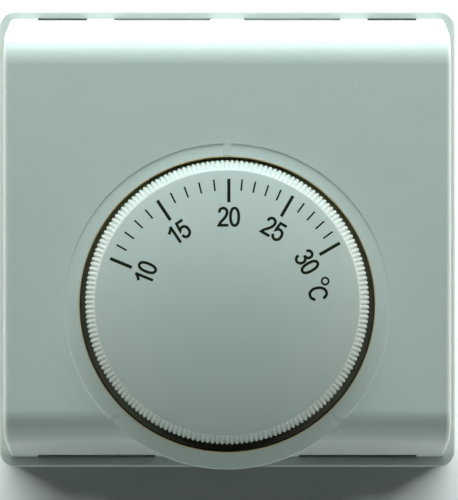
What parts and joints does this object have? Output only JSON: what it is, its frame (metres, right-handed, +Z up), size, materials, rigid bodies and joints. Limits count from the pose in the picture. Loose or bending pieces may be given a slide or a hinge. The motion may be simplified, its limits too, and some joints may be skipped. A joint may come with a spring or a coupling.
{
  "type": "wall thermostat",
  "caption": "Square wall-mounted room thermostat with a knurled temperature dial in a round collar and a capsule, lever, spring and switch mechanism inside.",
  "frame": {"origin": "middle of the base's back face, on the wall", "axes": "+Z up the wall, -Y out of the wall towards the room, +X to the right seen from the room"},
  "size_m": [0.084, 0.0364, 0.084],
  "materials": {
    "base_plastic": "moulded, fine spark texture",
    "cover_plastic": "moulded, very fine grain, satin",
    "knob_plastic": "moulded, satin gloss with a printed scale",
    "zinc_steel": "zinc plated",
    "dark_steel": "blackened",
    "spring_steel": "bright drawn",
    "brass": "turned",
    "capsule_bronze": "pressed, tarnished",
    "contact_copper": "rolled strip",
    "silver_contact": "silver alloy",
    "switch_plastic": "phenolic moulding",
    "lid_plastic": "phenolic moulding",
    "plunger_plastic": "acetal",
    "block_plastic": "moulded",
    "resistor_lacquer": "lacquered",
    "tinned_wire": "tinned",
    "lead_insulation": "extruded"
  },
  "bodies": {
    "housing": {"base_plate": "base_plastic", "front_cover": "cover_plastic", "cover_screw": "zinc_steel", "limit_pegs": "dark_steel", "spindle_bush": "brass", "range_spring": "spring_steel", "mechanism_frame": "zinc_steel", "spindle_bridge": "zinc_steel", "bridge_screws": "dark_steel", "frame_screws": "dark_steel", "sensing_capsule": "capsule_bronze", "capsule_stud": "brass", "capsule_nut": "brass", "lever_pin": "spring_steel", "lever_pin_clips": "dark_steel", "switch_housing": "switch_plastic", "switch_lid": "lid_plastic", "switch_rivets": "brass", "fixed_contact": "silver_contact", "blade_post": "brass", "live_strip": "contact_copper", "load_strip": "contact_copper", "terminal_block": "block_plastic", "terminal_clamps": "brass", "terminal_screws": "zinc_steel", "earth_terminal": "brass", "earth_screw": "zinc_steel", "heater_resistor": "resistor_lacquer", "resistor_wires": "tinned_wire", "neutral_lead": "lead_insulation"},
    "dial": {"setting_knob": "knob_plastic", "knob_clip": "spring_steel", "dial_spindle": "zinc_steel", "friction_washer": "spring_steel", "spindle_clip": "dark_steel"},
    "nut": {"setting_nut": "brass"},
    "lever": {"main_lever": "zinc_steel", "calibration_screw": "brass"},
    "plunger": {"switch_plunger": "plunger_plastic"},
    "blade": {"moving_blade": "contact_copper"}
  },
  "joints": [
    {"name": "dial_turn", "type": "hinge", "parent": "housing", "child": "dial", "pos_m": [0, -0.0364, -0.0114], "axis": [0, -1, 0], "range_deg": [-72, 64]},
    {"name": "nut_travel", "type": "slide", "parent": "housing", "child": "nut", "axis": [0, 1, 0], "range_m": [-0.00061, 0.00054], "deforming": ["range_spring"]},
    {"name": "lever_tilt", "type": "hinge", "parent": "housing", "child": "lever", "pos_m": [-0.015, -0.0097, -0.0114], "axis": [0, 0, 1], "range_deg": [-0.74, 0.66], "deforming": ["sensing_capsule"]},
    {"name": "plunger_travel", "type": "slide", "parent": "housing", "child": "plunger", "axis": [0, 1, 0], "range_m": [-0.00052, 0.00046]},
    {"name": "blade_swing", "type": "hinge", "parent": "housing", "child": "blade", "pos_m": [0.033, -0.00573, -0.0156], "axis": [0, 0, -1], "range_deg": [-3.7, 3.3]}
  ],
  "couplings": [
    {"joint": "nut_travel", "follows": "dial_turn", "m_per_rad": 0.00047746},
    {"joint": "lever_tilt", "follows": "dial_turn", "ratio": 0.01},
    {"joint": "plunger_travel", "follows": "dial_turn", "m_per_rad": 0.0004},
    {"joint": "blade_swing", "follows": "dial_turn", "ratio": 0.05}
  ]
}
